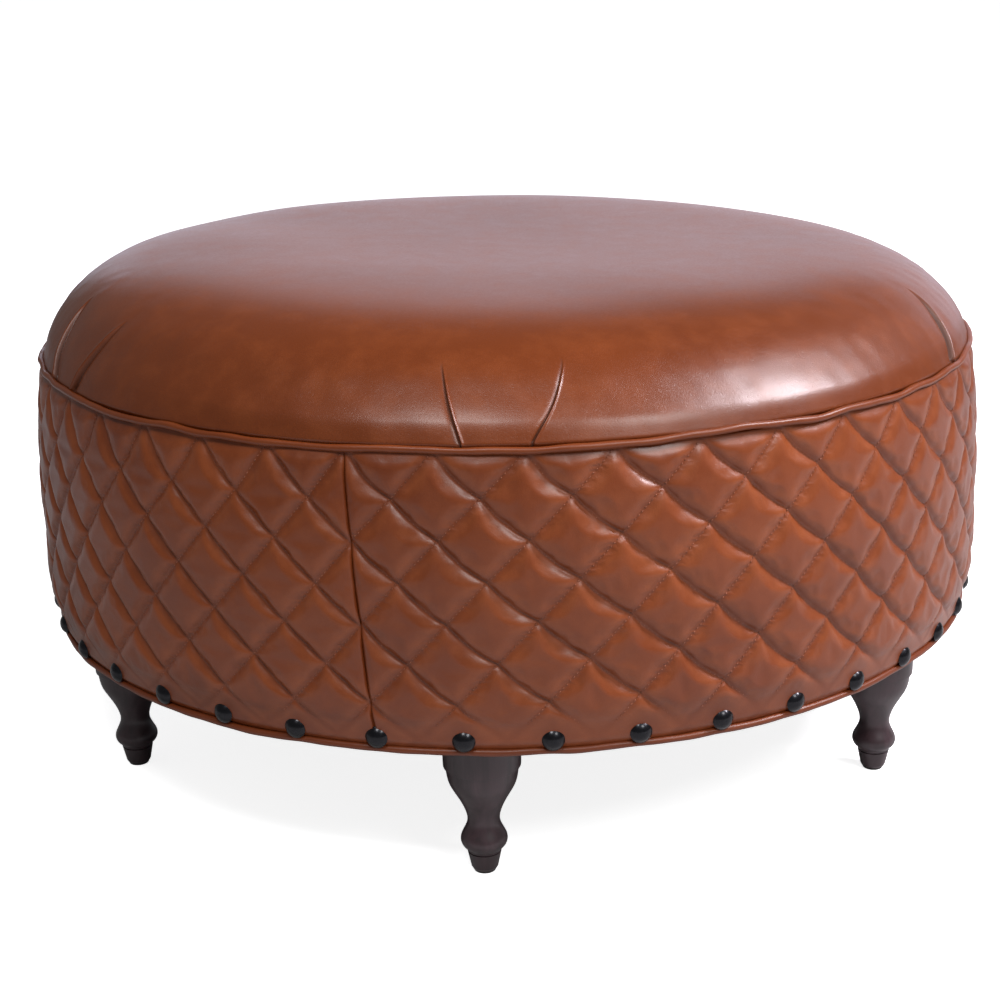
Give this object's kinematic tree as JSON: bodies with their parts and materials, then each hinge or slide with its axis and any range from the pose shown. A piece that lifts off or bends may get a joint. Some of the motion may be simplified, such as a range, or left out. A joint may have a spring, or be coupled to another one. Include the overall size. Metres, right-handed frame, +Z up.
{
  "type": "round upholstered ottoman",
  "caption": "Large round ottoman with a smooth pleated leather seat, a diamond-quilted leather band, piping, dome nails and turned dark wooden legs.",
  "frame": {"origin": "on the floor, under the centre of the seat", "axes": "+Z up along the ottoman's axis; leg_1 stands on the -Y side"},
  "size_m": [0.9384, 0.9384, 0.4781],
  "materials": {
    "seat_leather": "smooth tan aniline leather, fine grain, satin",
    "band_leather": "diamond-quilted tan leather with stitched channels",
    "piping_leather": "leather folded over cord",
    "piping_cord": "twisted cotton cord",
    "leg_wood": "dark espresso satin stain",
    "nail_metal": "glossy black nickel dome",
    "plywood": "raw birch plywood",
    "softwood": "raw sawn pine",
    "fibreboard": "thin bent fibreboard",
    "foam": "open-cell upholstery foam",
    "fibre_wrap": "white polyester fibre wrap",
    "hessian": "open jute weave",
    "webbing": "woven jute webbing",
    "dust_cloth": "black non-woven dust cover",
    "zinc_steel": "zinc-plated",
    "nylon": "dark nylon"
  },
  "bodies": {
    "root": {"band_panel_1": "band_leather", "band_panel_2": "band_leather", "band_panel_3": "band_leather", "block_screws": "zinc_steel", "bottom_piping_cord": "piping_cord", "bottom_piping_leather": "piping_leather", "bottom_ring": "plywood", "dome_nails": "nail_metal", "dust_cover": "dust_cloth", "dust_cover_staples": "zinc_steel", "foot_glides": "nylon", "leg_1": "leg_wood", "leg_2": "leg_wood", "leg_3": "leg_wood", "leg_4": "leg_wood", "leg_5": "leg_wood", "leg_6": "leg_wood", "leg_block_1": "softwood", "leg_block_2": "softwood", "leg_block_3": "softwood", "leg_block_4": "softwood", "leg_block_5": "softwood", "leg_block_6": "softwood", "leg_bolts": "zinc_steel", "post_1": "softwood", "post_2": "softwood", "post_3": "softwood", "post_4": "softwood", "post_5": "softwood", "post_6": "softwood", "ring_screws": "zinc_steel", "seat_cover": "seat_leather", "seat_foam": "foam", "seat_hessian": "hessian", "seat_wrap": "fibre_wrap", "side_board": "fibreboard", "side_padding": "fibre_wrap", "t_nuts": "zinc_steel", "tack_strip": "fibreboard", "tack_strip_staples": "zinc_steel", "top_piping_cord": "piping_cord", "top_piping_leather": "piping_leather", "top_ring": "plywood", "webbing_across": "webbing", "webbing_along": "webbing", "webbing_staples": "zinc_steel"}
  },
  "joints": []
}
